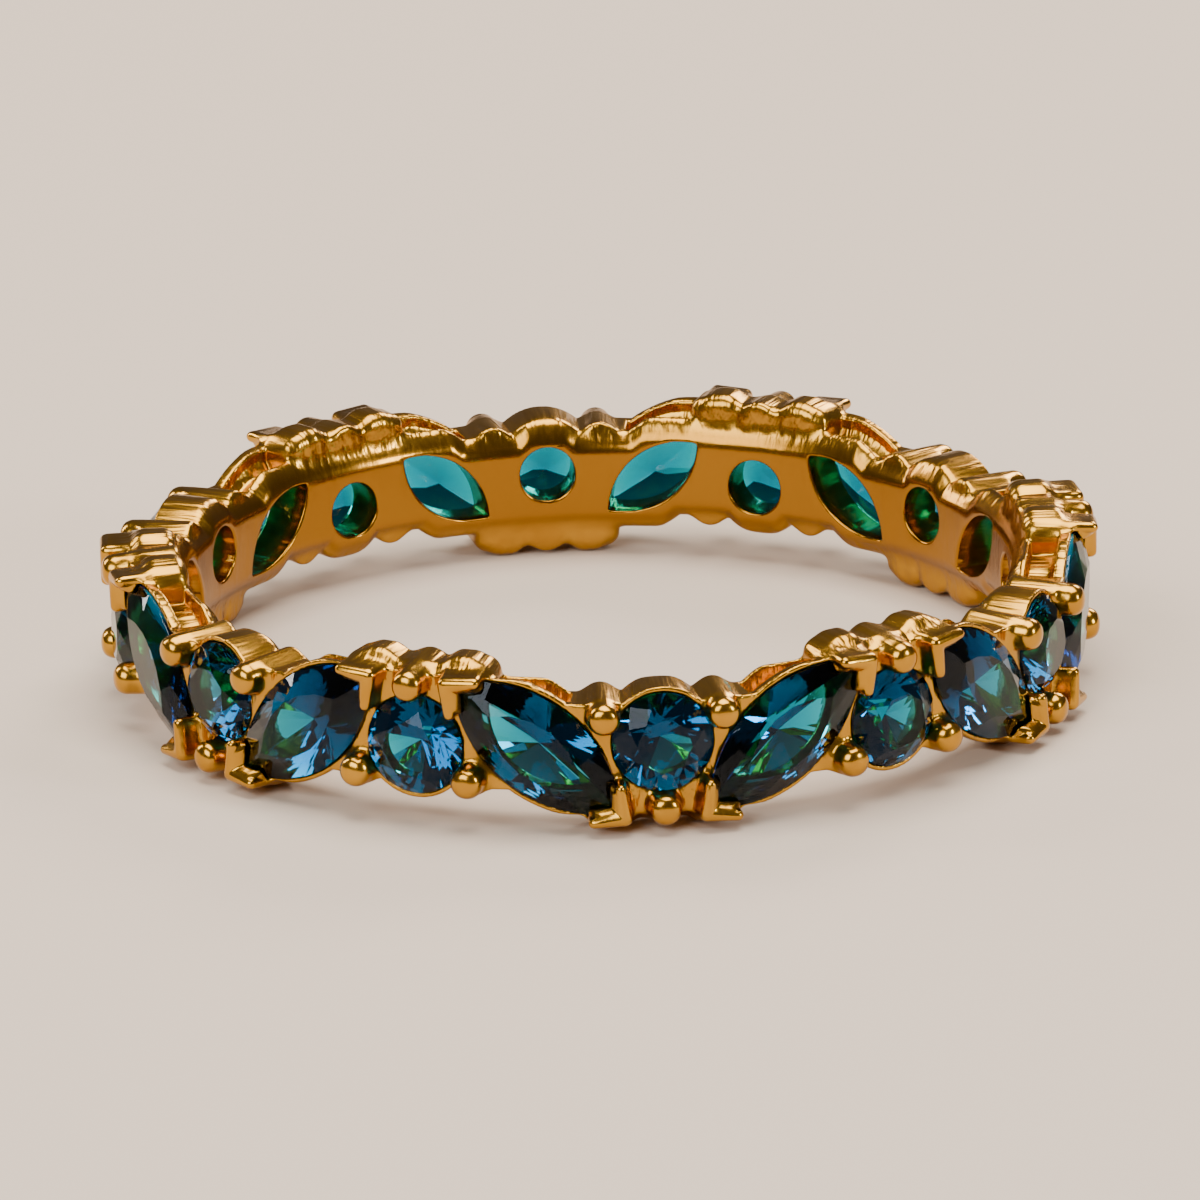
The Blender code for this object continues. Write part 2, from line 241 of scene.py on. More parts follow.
def gold_material():
    material, tree = new_material("yellow_gold_cast_and_polished")
    waves, streaks, lines, unpolished, radius = gold_relief(tree)
    tint = add_node(
        tree, "ShaderNodeMix", data_type="RGBA", Factor=waves, i6=linear(GOLD_COLOUR), i7=linear(GOLD_DEEP)
    )
    # painted reflection: the base colour turns deeper towards the finger, by the radius
    inside = add_node(tree, "ShaderNodeMapRange", interpolation_type="SMOOTHSTEP", Value=radius, **PAINTED_REFLECTION_BY_RADIUS)
    colour = add_node(
        tree, "ShaderNodeMix", data_type="RGBA", Factor=inside, i6=tint.outputs[2], i7=linear(GOLD_PAINTED_REFLECTION)
    )
    fine = add_node(tree, "ShaderNodeMapRange", Value=lines, **ROUGHNESS_OF_LINES)
    dull = add_node(tree, "ShaderNodeMapRange", Value=unpolished, **ROUGHNESS_OF_STREAKS)
    rough = add_node(tree, "ShaderNodeMath", operation="ADD", i0=fine, i1=dull)
    cast = add_node(tree, "ShaderNodeBump", Strength=CAST_STRENGTH, Distance=CAST_DEPTH_MM * MM, Height=waves)
    filed = add_node(
        tree, "ShaderNodeBump", Strength=1.0, Distance=STREAK_DEPTH_MM * MM, Height=streaks, Normal=cast
    )
    polished = add_node(
        tree, "ShaderNodeBump", Strength=POLISH_STRENGTH, Distance=POLISH_DEPTH_MM * MM, Height=lines, Normal=filed
    )
    shader = add_node(
        tree, "ShaderNodeBsdfPrincipled", Metallic=1.0, Base_Color=colour.outputs[2], Roughness=rough, Normal=polished
    )
    add_node(tree, "ShaderNodeOutputMaterial", Surface=shader)
    return material


gold = gold_material()
print("material:", gold.name, "with", len(gold.node_tree.nodes), "nodes")

# %% [markdown]
# ## Blue-teal cut stones
# The stones are cut and polished crystal of a deep blue-teal. Light that enters one is bent, thrown back by the
# lower facets and coloured on its way, so a long path comes out deeper than a short one. A clear surface with an
# absorbing volume inside does that by itself, where a tinted surface would give one even colour. The surface's own
# gloss is held back a little, or the pale floor that it mirrors would lie over the colour like a haze.

# %% Material of the stones
CLEAR = "#FFFFFF"
STONE_TINT = "#00E9F1"
STONE_DENSITY = 6000.0
STONE_IOR = 1.68
STONE_GLOSS = "#7A8088"


def stone_material():
    material, tree = new_material("blue_teal_crystal_faceted")
    shader = add_node(
        tree, "ShaderNodeBsdfPrincipled", Base_Color=linear(CLEAR), Roughness=0.0, IOR=STONE_IOR,
        Transmission_Weight=1.0, Specular_Tint=linear(STONE_GLOSS),
    )
    depth = add_node(tree, "ShaderNodeVolumeAbsorption", Color=linear(STONE_TINT), Density=STONE_DENSITY)
    add_node(tree, "ShaderNodeOutputMaterial", Surface=shader, Volume=depth)
    return material


crystal = stone_material()
red_left = math.exp(-STONE_DENSITY * MM)
print("material:", crystal.name, "which leaves", f"{red_left:.1%}", "of the red after 1 mm")

# %% [markdown]
# ## The outlines of the stones
# A round stone is a circle. A marquise is two arcs that meet in points, the shape that two overlapping circles
# share. The distance to either outline is one short formula, and the seats that are cut into the gold follow it.

# %% Outlines as points and as distances
def round_outline(points):
    return [(ROUND_RADIUS * math.cos(2 * math.pi * i / points), ROUND_RADIUS * math.sin(2 * math.pi * i / points))
            for i in range(points)]


def marquise_outline(points):
    half = points // 2
    outline = []
    for side in (1, -1):
        for step in range(half):
            angle = TIP_HALF_ANGLE * (1 - 2 * step / half)
            outline.append((side * ARC_RADIUS * math.sin(angle), side * (ARC_RADIUS * math.cos(angle) - ARC_OFFSET)))
    return outline


def round_distance(x, y):
    return np.hypot(x, y) - ROUND_RADIUS


def marquise_distance(x, y):
    """Distance to the two arcs, or to the tip where a point lies past it."""
    x, y = np.abs(x), np.abs(y)
    past_tip = (x - HALF_LENGTH) * ARC_OFFSET > y * HALF_LENGTH
    return np.where(past_tip, np.hypot(x - HALF_LENGTH, y), np.hypot(x, y + ARC_OFFSET) - ARC_RADIUS)


print("round", round(float(round_distance(0.0, 0.0)), 2), "marquise", round(float(marquise_distance(0.0, 0.0)), 2))

# %% [markdown]
# ## The gold as a distance field
# Cast gold has no sharp joints: where a prong grows out of the band, the metal flows from one into the other. Such
# a form is easy to describe as a field that gives each point's distance to the metal. Shapes are joined by taking
# the lesser distance, and a smooth version of that minimum makes the fillet. Cuts work the same way.

# %% Smooth joins and cuts
def join(a, b, fillet):
    blend = np.clip(0.5 + 0.5 * (b - a) / fillet, 0, 1)
    return b + (a - b) * blend - fillet * blend * (1 - blend)


def cut(a, b, rounding):
    """Removes b from a."""
    return -join(-a, b, rounding)


def within(a, b, rounding):
    """What a and b share."""
    return -join(-a, -b, rounding)


print("a fillet of 0.16 mm adds", round(-float(join(0.0, 0.0, 0.16)), 3), "mm of metal in the corner")

# %% [markdown]
# ## A grid for half a part
# The ring repeats every 30 degrees, turned upside down each time, and each such part is its own mirror image. So
# the field is worked out once, over 15 degrees, on a grid that follows the ring round. For every grid point it
# keeps the angle, the height and the radius, and also how far it lies sideways and outwards.

# %% The grid of one half part
CELL = 0.036
GRID_INSIDE = 8.53
GRID_OUTSIDE = 10.75
GRID_MARGIN = 0.12
columns = round(GIRDLE_RADIUS * STONE_ANGLE / CELL)
rows = 2 * round((HALF_HEIGHT + GRID_MARGIN) / CELL)
layers = round((GRID_OUTSIDE - GRID_INSIDE) / CELL)
half_angles = (np.arange(columns) + 0.5) / columns * STONE_ANGLE
heights = (np.arange(rows) + 0.5 - rows / 2) * CELL
radii = GRID_INSIDE + np.arange(layers) * CELL
angle_at, height_at, radius_at = np.meshgrid(half_angles, heights, radii, indexing="ij")
side_at, out_at = radius_at * np.sin(angle_at), radius_at * np.cos(angle_at)
print("grid of half a part:", angle_at.shape)

# %% [markdown]
# ## The band's wavy edge
# Seen from outside, the band is a strip that follows the stones: round each it keeps a thin wall, it dips between a
# round and a marquise, and it stops level at the peaks. The distance to that outline is measured on the strip as if
# it were rolled flat, which is the same as measuring along the band.

# %% Upper edge of the band, rolled flat
EDGE_WALL = 0.12
LOW_EDGE_STEP = 0.20
PEAK_STEP = 0.33
LOW_EDGE = ROUND_SHIFT + ROUND_RADIUS - LOW_EDGE_STEP
PEAK_EDGE = HALF_HEIGHT - PEAK_STEP


def top_edge(angle):
    """Height of the band's upper edge, with a valley at angle 0."""
    wave = 4 * STONE_ANGLE
    along = np.abs((angle + wave / 2) % wave - wave / 2) * GIRDLE_RADIUS
    round_wall = ROUND_RADIUS + EDGE_WALL
    over_round = ROUND_SHIFT + np.sqrt(np.maximum(round_wall**2 - along**2, 0))
    edge = np.where(along < round_wall, np.maximum(LOW_EDGE, over_round), LOW_EDGE)
    arc = ARC_RADIUS + EDGE_WALL
    from_arc = along - STONE_PITCH - ARC_OFFSET * math.sin(TILT)
    over_arc = np.sqrt(np.maximum(arc**2 - from_arc**2, 0)) - ARC_OFFSET * math.cos(TILT)
    edge = np.where(np.abs(from_arc) < arc, np.maximum(edge, over_arc), edge)
    edge = np.where(along > STONE_PITCH + TIP_ALONG, PEAK_EDGE, edge)
    return np.minimum(edge, PEAK_EDGE)


print("upper edge:", round(float(top_edge(0.0)), 2), "mm up over a round stone,", round(PEAK_EDGE, 2), "at a peak")

# %% Distance to the band's outline
LINE_ENDS = (-0.6, 1.6)  # in stone angles, past both ends of the grid
LINE_POINTS = 1400
LINE_PART = 100  # points of the line that are compared at once, to save memory


def strip_distance(angles, levels):
    """Signed distance to the band's outline for each angle and height."""
    fine = np.linspace(*LINE_ENDS, LINE_POINTS) * STONE_ANGLE
    line = [(fine * GIRDLE_RADIUS, top_edge(fine)), (fine * GIRDLE_RADIUS, -top_edge(fine + 2 * STONE_ANGLE))]
    a, v = np.meshgrid(angles, levels, indexing="ij")
    far = np.full(a.shape, np.inf)
    for along, edge in line:
        for start in range(0, LINE_POINTS, LINE_PART):
            part = slice(start, start + LINE_PART)
            gap = (a[..., None] * GIRDLE_RADIUS - along[part]) ** 2 + (v[..., None] - edge[part]) ** 2
            far = np.minimum(far, gap.min(axis=-1))
    inside = (v < top_edge(a)) & (v > -top_edge(a + 2 * STONE_ANGLE))
    return np.where(inside, -1, 1) * np.sqrt(far)


strip = strip_distance(half_angles, heights)[..., None]
print("strip distance from", round(float(strip.min()), 2), "to", round(float(strip.max()), 2), "mm")

# %% [markdown]
# ## The body of the band
# Inside, the band is a plain circle with broken edges, so that it slides over a knuckle. Outside, it is a ring of
# flat faces, one under each stone, because a stone's edge is flat and a flat face holds it evenly. At the peaks it
# slopes down a little towards the finger.

# %% Body of the band
INNER_CHAMFER = 0.30
INNER_PEAK_STEP = 0.58
INNER_PEAK_EDGE = HALF_HEIGHT - INNER_PEAK_STEP
FACE_DROP = 0.02
PEAK_ROUNDING = 0.06
FACE_ROUNDING = 0.05
CHAMFER_ROUNDING = 0.10
FINGER_ROUNDING = 0.12


def outer_face(angle):
    off_centre = (angle + STONE_ANGLE / 2) % STONE_ANGLE - STONE_ANGLE / 2
    return GIRDLE_RADIUS / np.cos(off_centre) - FACE_DROP


inside = FINGER_RADIUS - radius_at
outside = radius_at - outer_face(angle_at)
slope = (PEAK_EDGE - INNER_PEAK_EDGE) / (GIRDLE_RADIUS - FINGER_RADIUS - INNER_CHAMFER)
peak = np.abs(height_at) - INNER_PEAK_EDGE - slope * (radius_at - FINGER_RADIUS - INNER_CHAMFER)
body = within(strip, peak / math.hypot(1, slope), PEAK_ROUNDING)
body = within(body, outside, FACE_ROUNDING)
body = within(body, (body + inside + INNER_CHAMFER) / math.sqrt(2), CHAMFER_ROUNDING)
body = within(body, inside, FINGER_ROUNDING)
print("body: share of the grid filled", round(float((body < 0).mean()), 3))


# %% [markdown]
# ## Round prongs
# Each round stone is held by three round wires. A wire starts inside the band, leans in a little towards the stone
# and ends in a dome that grips its edge. The distance to a tapered wire is the distance to its centre line less
# its radius there.

# %% A tapered wire
def wire(foot, head, foot_radius, head_radius):
    """Distance to a wire. Its ends are given sideways, up and outwards."""
    start, end = np.array(foot), np.array(head)
    grids = (side_at, height_at, out_at)
    run = end - start
    share = sum((grid - start[i]) * run[i] for i, grid in enumerate(grids)) / (run @ run)
    share = np.clip(share, 0, 1)
    offset = [grid - start[i] - share * run[i] for i, grid in enumerate(grids)]
    radius = foot_radius + (head_radius - foot_radius) * share
    return np.sqrt(offset[0] ** 2 + offset[1] ** 2 + offset[2] ** 2) - radius


print("wire: a straight one fills", int((wire((0, 0, 9), (0, 0, 10), 0.3, 0.3) < 0).sum()), "grid points")

# %% Round prongs
BEAD_RADIUS = 0.345
BEAD_TOP = 10.58
BEAD_ANGLE = math.radians(27.5)
# The ends of a wire: distance from the finger's axis, distance from the stone's middle, radius
BEAD_FOOT = (8.90, 1.45, 0.38)
BEAD_HEAD = (BEAD_TOP - BEAD_RADIUS, 1.36, BEAD_RADIUS)
# Where a wire is cut off, from the finger's axis, and how round its end is there
BEAD_FOOT_CUT = (8.88, 0.15)
BEAD_HEAD_CUT = (10.565, 0.14)


def bead(direction):
    """The prong that lies in this direction from the round stone."""
    ends = []
    for from_axis, from_stone, _ in (BEAD_FOOT, BEAD_HEAD):
        angle = from_stone * math.cos(direction) / GIRDLE_RADIUS
        height = ROUND_SHIFT + from_stone * math.sin(direction)
        ends.append((from_axis * math.sin(angle), height, from_axis * math.cos(angle)))
    return wire(*ends, BEAD_FOOT[2], BEAD_HEAD[2])


beads = np.minimum(bead(BEAD_ANGLE), bead(-math.pi / 2))
beads = within(beads, BEAD_FOOT_CUT[0] - radius_at, BEAD_FOOT_CUT[1])
beads = within(beads, radius_at - BEAD_HEAD_CUT[0], BEAD_HEAD_CUT[1])
print("beads: share of the grid filled", round(float((beads < 0).mean()), 4))


# %% [markdown]
# ## V-shaped prongs
# The point of a marquise would chip if a single claw pressed on it, so a folded V shields it. Its two arms lie along
# the stone's edges. The head is a flat chevron with rounded ends. Its outer side leans away from the stone as it goes
# down, and its inner side slopes down onto the stone, where the setter has pressed it over.

# %% Heads of the V-shaped prongs
V_TOP = GIRDLE_RADIUS + 0.57
V_BOTTOM = 9.1
V_TOP_ROUNDING = 0.19
V_BOTTOM_ROUNDING = 0.10
V_ARM = 0.60
V_CORNER = -0.06
CORNER_RADIUS = 0.165
ARM_END_RADIUS = 0.125
LEAN, LEAN_DEPTH = 0.08, 1.4
GRIP, GRIP_DEPTH, GRIP_DROP = 0.26, 0.42, 0.05
GRIP_ARM_SHARE = 0.7
TIP_ANGLE = (STONE_PITCH - TIP_ALONG) / GIRDLE_RADIUS


def taper(x, y, start, end, start_radius, end_radius):
    """Distance to a flat bar that tapers from a round start to a round end."""
    ax, ay = end[0] - start[0], end[1] - start[1]
    share = np.clip(((x - start[0]) * ax + (y - start[1]) * ay) / (ax * ax + ay * ay), 0, 1)
    return np.hypot(x - start[0] - share * ax, y - start[1] - share * ay) - (
        start_radius + (end_radius - start_radius) * share
    )


tip_side = radius_at * np.sin(angle_at - TIP_ANGLE)
tip_out = radius_at * np.cos(angle_at - TIP_ANGLE)
foot_up = -height_at
v_x = tip_side * math.cos(TILT) - (foot_up - TIP_HEIGHT) * math.sin(TILT)
v_y = tip_side * math.sin(TILT) + (foot_up - TIP_HEIGHT) * math.cos(TILT)
arm = (V_ARM * math.cos(TIP_HALF_ANGLE), V_ARM * math.sin(TIP_HALF_ANGLE))
lean = np.clip((V_TOP - tip_out) / LEAN_DEPTH, 0, 1) * LEAN
grip = np.clip((V_TOP - GRIP_DROP - tip_out) / GRIP_DEPTH, 0, 1) * GRIP
corner_at = (V_CORNER, 0.0)
head = np.minimum.reduce([
    taper(v_x + shift, v_y, corner_at, (reach * arm[0], side * reach * arm[1]), CORNER_RADIUS, ARM_END_RADIUS)
    for shift, reach in ((lean, 1.0), (-grip, GRIP_ARM_SHARE)) for side in (1, -1)
])
head = within(head, tip_out - V_TOP, V_TOP_ROUNDING)
head = within(head, V_BOTTOM - tip_out, V_BOTTOM_ROUNDING)
print("V heads: share of the grid filled", round(float((head < 0).mean()), 4))

# %% [markdown]
# ## Roots of the V-shaped prongs
# Behind each head, a thick root runs down to the band and out to the level on which the ring rests. A lower shoulder
# leads over to the next stone, and a web of metal fills the space up to the next root. Each is a bar with soft
# edges, and fillets melt the three together.

# %% Roots of the V-shaped prongs
# A bar's low and high corners, given sideways from the marquise's point, towards the foot and from the finger's
# axis, and its rounding
ROOT = ((-0.30, 0.9, 8.88), (0.50, HALF_HEIGHT, 9.86), 0.30)
SHOULDER = ((0.20, 0.9, 8.92), (0.80, HALF_HEIGHT - 0.14, 9.92), 0.28)
WEB = ((-1.4, 0.9, 8.92), (0.0, HALF_HEIGHT - 0.17, 9.80), 0.20)
SHOULDER_FILLET = 0.20
WEB_FILLET = 0.16
HEAD_FILLET = 0.12


def bar(low, high, rounding):
    """Distance to a box with rounded edges between two corners."""
    grids = zip((tip_side, foot_up, tip_out), low, high)
    q = [np.abs(grid - (l + h) / 2) - (h - l) / 2 + rounding for grid, l, h in grids]
    outer = np.sqrt(sum(np.maximum(d, 0) ** 2 for d in q))
    return outer + np.minimum(np.maximum(q[0], np.maximum(q[1], q[2])), 0) - rounding


root = join(join(bar(*ROOT), bar(*SHOULDER), SHOULDER_FILLET), bar(*WEB), WEB_FILLET)
v_prong = join(head, root, HEAD_FILLET)
print("V prongs: share of the grid filled", round(float((v_prong < 0).mean()), 4))


# %% [markdown]
# ## Seats and windows
# The setter cuts a seat for each stone that follows its lower facets, and a window behind it lets light in from the
# finger side. Above the edge, the cut follows the crown, so the prongs stay whole over it and end up gripping it.

# %% Seats and windows
CROWN = 0.155  # height above the edge, as a share of the stone's width
PAVILION = 0.42  # depth below the edge, as the same share
HALF_GIRDLE = 0.035  # half the height of the upright edge between the two
CLEARANCE = 0.02
WINDOW_SHARE = 0.55
CROWN_TAPER = 0.30
SLOPE_SHARE = 0.8  # a sloping wall is nearer than it is when measured straight across


def seat(distance, centre_angle, centre_height, turn, width):
    """Distance to the hole for a stone. The first input gives the distance to the stone's outline."""
    x = radius_at * np.sin(angle_at - centre_angle)
    y = height_at - centre_height
    z = radius_at * np.cos(angle_at - centre_angle) - GIRDLE_RADIUS
    along, across = x * math.cos(turn) + y * math.sin(turn), y * math.cos(turn) - x * math.sin(turn)
    above = np.clip((z - HALF_GIRDLE) / (CROWN * width), 0, 1)
    below = np.clip((-z - HALF_GIRDLE) / (PAVILION * width), 0, 1)
    share = np.maximum(1 - CROWN_TAPER * above - below, WINDOW_SHARE)
    hole = distance(along / share, across / share) * share - CLEARANCE
    hole = np.where(share < 1, hole * SLOPE_SHARE, hole)
    return np.maximum(hole, z - HALF_GIRDLE - CROWN * width)


round_seat = seat(round_distance, 0, ROUND_SHIFT, 0, 2 * ROUND_RADIUS)
marquise_seat = seat(marquise_distance, STONE_ANGLE, 0, TILT, 2 * HALF_WIDTH)
for name, hole in (("round", round_seat), ("marquise", marquise_seat)):
    print(name, "seat: share of the grid taken", round(float((hole < 0).mean()), 3))

# %% [markdown]
# ## Recesses beside the marquises
# Beside the marquises, the band's edge is hollowed between an outer and an inner rail, which saves gold and keeps
# the ring light. The hollow stops short of the stone's seat, so a wall of gold hides the stone from the side.

# %% Recesses
SEAT_WALL = 0.13
RECESS_DEPTH = 0.60
INNER_RAIL = 0.43
OUTER_RAIL = 0.26
RECESSES = ((0.74, 1.33, 1), (0.67, 1.26, -1))  # from, to, in stone pitches, and on the upper or the lower side


def recess(first, last, side):
    along = angle_at * GIRDLE_RADIUS
    ends = np.maximum(first * STONE_PITCH - along, along - last * STONE_PITCH)
    rails = np.maximum(FINGER_RADIUS + INNER_RAIL - radius_at, radius_at - GIRDLE_RADIUS + OUTER_RAIL)
    hollow = np.maximum(np.maximum(-strip - RECESS_DEPTH, ends), rails)
    return np.maximum(np.maximum(hollow, -side * height_at), SEAT_WALL - marquise_seat)


recesses = [recess(*row) for row in RECESSES]
print("recesses: share of the grid taken", [round(float((hollow < 0).mean()), 4) for hollow in recesses])

# %% The gold of one half part
PRONG_FILLET = 0.16
SEAT_ROUNDING = 0.03
RECESS_ROUNDING = 0.06
field = join(body, beads, PRONG_FILLET)
field = join(field, v_prong, PRONG_FILLET)
for hole in (round_seat, marquise_seat):
    field = cut(field, hole, SEAT_ROUNDING)
for hollow in recesses:
    field = cut(field, hollow, RECESS_ROUNDING)
print("gold: share of the grid filled", round(float((field < 0).mean()), 3))

# %% [markdown]
# ## From the field to a mesh
# The half part is mirrored to 30 degrees, and twelve parts, every second one upside down, make the whole ring. A
# surface net then puts one vertex in each cell that the surface crosses, at the middle of its crossings, and joins
# the four cells round each crossed edge with a face. The grid closes on itself, so the mesh does too.

# %% The whole ring's field
part = np.concatenate((field[::-1], field))
ring_field = np.concatenate([part if i % 2 == 0 else part[:, ::-1] for i in range(STONES // 2)]).astype(np.float32)
turns, rows, layers = ring_field.shape
print("grid of the ring:", ring_field.shape)

# %% Cells that the surface crosses
metal = ring_field < 0
corners_in_metal = np.zeros((turns, rows - 1, layers - 1), np.int8)
for di in (0, 1):
    next_metal = np.roll(metal, -di, axis=0)
    for dj in (0, 1):
        for dk in (0, 1):
            corners_in_metal += next_metal[:, dj : rows - 1 + dj, dk : layers - 1 + dk]
cells = np.argwhere((corners_in_metal > 0) & (corners_in_metal < 8))
ci, cj, ck = cells.T
vertex_of = np.full(corners_in_metal.shape, -1, np.int64)
vertex_of[ci, cj, ck] = np.arange(len(cells))
print("cells on the surface:", len(cells))


# %% One spot for each cell
def corner(di, dj, dk):
    """The field at one corner of each crossed cell."""
    return ring_field[(ci + di) % turns, cj + dj, ck + dk]


total = np.zeros((len(cells), 3))
crossings = np.zeros(len(cells))
for axis in range(3):
    for a in (0, 1):
        for b in (0, 1):
            start = [a, b]
            start.insert(axis, 0)
            end = list(start)
            end[axis] = 1
            low, high = corner(*start), corner(*end)
            crossed = (low < 0) != (high < 0)
            spot = np.tile(np.array(start, float), (len(cells), 1))
            spot[:, axis] = np.where(crossed, low / np.where(crossed, low - high, 1), 0)
            total += spot * crossed[:, None]
            crossings += crossed
spots = cells + total / crossings[:, None]
print("crossings in a cell, on average:", round(float(crossings.mean()), 2))

# %% Faces of the net
# The four cells round a grid edge along each axis, as steps from the edge's first point, in turning order
CELLS_ROUND = (
    ((0, -1, -1), (0, 0, -1), (0, 0, 0), (0, -1, 0)),
    ((-1, 0, -1), (-1, 0, 0), (0, 0, 0), (0, 0, -1)),
    ((-1, -1, 0), (0, -1, 0), (0, 0, 0), (-1, 0, 0)),
)
BEFORE_AND_AFTER = (
    (metal, np.roll(metal, -1, axis=0)),
    (metal[:, :-1], metal[:, 1:]),
    (metal[:, :, :-1], metal[:, :, 1:]),
)
faces = []
for (before, after), steps in zip(BEFORE_AND_AFTER, CELLS_ROUND):
    i, j, k = np.nonzero(before != after)
    quad = np.stack([vertex_of[(i + di) % turns, j + dj, k + dk] for di, dj, dk in steps], axis=1)
    inwards = ~before[i, j, k]
    quad[inwards] = quad[inwards][:, ::-1]
    faces.append(quad)
faces = np.concatenate(faces)
print("faces:", len(faces))

# %% Points of the net on the ring
net_angle = (spots[:, 0] + 0.5) * (2 * math.pi / turns) - STONE_ANGLE
net_height = (spots[:, 1] + 0.5 - rows / 2) * CELL
net_radius = GRID_INSIDE + spots[:, 2] * CELL
points = np.stack(
    (net_radius * np.sin(net_angle), -net_radius * np.cos(net_angle), net_height + HALF_HEIGHT), axis=1
) * MM
net = bpy.data.meshes.new("band_gold")
net.from_pydata(points, [], faces)
net.update()
band = bpy.data.objects.new("band_gold", net)
bpy.context.scene.collection.objects.link(band)
print("box of the gold in mm:", [round(float(s), 2) for s in np.ptp(points, axis=0) / MM])

# %% [markdown]
# ## Fewer triangles where the gold is plain
# The net is even, so it spends as many triangles on a flat face as on a prong. Decimate collapses edges where the
# surface hardly bends and leaves the small forms alone.

# %% Thin the mesh out
BAND_TRIANGLES = 190000
thin = band.modifiers.new("thin", "DECIMATE")
thin.ratio = BAND_TRIANGLES / (2 * len(faces))
thin.use_collapse_triangulate = True


def settle(piece):
    """Replaces a piece's mesh with its evaluated one and drops its modifiers."""
    graph = bpy.context.evaluated_depsgraph_get()
    made = bpy.data.meshes.new_from_object(piece.evaluated_get(graph))
    piece.modifiers.clear()
    piece.data = made
    made.name = piece.name


settle(band)
band.data.shade_smooth()
band.data.materials.clear()
band.data.materials.append(gold)
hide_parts("band")
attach(band, "root")
print("band:", len(band.data.polygons), "triangles")


# %% [markdown]
# ## Cutting a stone
# A cutter starts from a blank with the outline of the stone and grinds flat facets on it, one after another. The
# code does the same: it takes a prism and slices it by a plane for each facet. A round brilliant has a table, eight
# star facets, eight mains and sixteen edge facets above the edge, and eight mains and sixteen edge facets below it.
# The marquise here has twelve mains in place of eight, so that its long sides glitter. Because each facet is one
# true plane, reflections in it are even, as in a real stone.

# %% Planes
def plane_through(a, b, c):
    """Plane as a point and a normal that points away from the stone's middle."""
    normal = (b - a).cross(c - a).normalized()
    return a, normal if normal.dot(a) > 0 else -normal


def height_on(plane, x, y):
    point, normal = plane
    return point.z - ((x - point.x) * normal.x + (y - point.y) * normal.y) / normal.z


slanted = plane_through(Vector((1, 0, 0)), Vector((0, 1, 0)), Vector((0, 0, 1)))
print("a plane through 1 on each axis has the height", round(height_on(slanted, 0.5, 0.0), 2), "at 0.5, 0")

# %% Facet planes
TABLE_SHARE = 0.56
STAR_SHARE = 0.78
LOWER_SHARE = 0.24
ROUND_POINTS = 16
MARQUISE_POINTS = 24


def facet_planes(outline, width, upper):
    """Planes of the crown (upper) or of the pavilion. Even points of the outline have a main, and odd ones lie
    between two mains and have two edge facets and, on the crown, a star."""
    side = 1 if upper else -1
    rise = (CROWN if upper else PAVILION) * width
    inner = TABLE_SHARE if upper else 0.0
    knot_share = STAR_SHARE if upper else LOWER_SHARE
    rim = side * HALF_GIRDLE
    n = len(outline)
    at = [Vector((x, y, rim)) for x, y in outline]
    on_top = [Vector((inner * x, inner * y, rim + side * rise)) for x, y in outline]
    mains = {}
    for i in range(0, n, 2):
        along = at[(i + 1) % n] - at[i - 1]
        mains[i] = plane_through(at[i], at[i] + along, on_top[i])
    planes = list(mains.values())
    for i in range(1, n, 2):
        x, y = knot_share * outline[i][0], knot_share * outline[i][1]
        levels = [height_on(mains[(i + step) % n], x, y) for step in (-1, 1)]
        knot = Vector((x, y, min(levels) if upper else max(levels)))
        planes += [plane_through(knot, at[i], at[(i + step) % n]) for step in (-1, 1)]
        if upper:
            planes.append(plane_through(on_top[i - 1], on_top[(i + 1) % n], knot))
    return planes


for upper in (True, False):
    print("planes of a round stone's", "crown:" if upper else "pavilion:",
          len(facet_planes(round_outline(ROUND_POINTS), 2 * ROUND_RADIUS, upper)))

# %% Grinding a blank
FINE_POINTS = 96
ON_PLANE = 1e-6
SAME_SPOT = 1e-4
FLAT_ENOUGH = math.radians(0.05)


def cut_stone(name, fine_outline, outline, width):
    """A stone's mesh in metres, ground from a prism with the fine outline by the facets of the coarse one."""
    shape = bmesh.new()
    low = -HALF_GIRDLE - PAVILION * width
    high = HALF_GIRDLE + CROWN * width
    bottom, top = [[shape.verts.new((x, y, z)) for x, y in fine_outline] for z in (low, high)]
    for i in range(len(fine_outline)):
        shape.faces.new((bottom[i - 1], bottom[i], top[i], top[i - 1]))
    shape.faces.new(reversed(bottom))
    shape.faces.new(top)
    for point, normal in facet_planes(outline, width, True) + facet_planes(outline, width, False):
        everything = shape.verts[:] + shape.edges[:] + shape.faces[:]
        made = bmesh.ops.bisect_plane(
            shape, geom=everything, dist=ON_PLANE, plane_co=point, plane_no=normal, clear_outer=True
        )
        rim = [item for item in made["geom_cut"] if isinstance(item, bmesh.types.BMEdge)]
        if len(rim) > 2:
            bmesh.ops.contextual_create(shape, geom=rim)
    bmesh.ops.remove_doubles(shape, verts=shape.verts, dist=SAME_SPOT)
    bmesh.ops.dissolve_limit(shape, angle_limit=FLAT_ENOUGH, verts=shape.verts, edges=shape.edges)
    bmesh.ops.recalc_face_normals(shape, faces=shape.faces)
    open_edges = sum(not edge.is_manifold for edge in shape.edges)
    shape.transform(Matrix.Scale(MM, 4))
    mesh = bpy.data.meshes.new(name)
    shape.to_mesh(mesh)
    shape.free()
    print(name, "faces", len(mesh.polygons), "open edges", open_edges)
    return mesh


round_cut = cut_stone("round_cut", round_outline(FINE_POINTS), round_outline(ROUND_POINTS), 2 * ROUND_RADIUS)
marquise_cut = cut_stone(
    "marquise_cut", marquise_outline(FINE_POINTS), marquise_outline(MARQUISE_POINTS), 2 * HALF_WIDTH
)

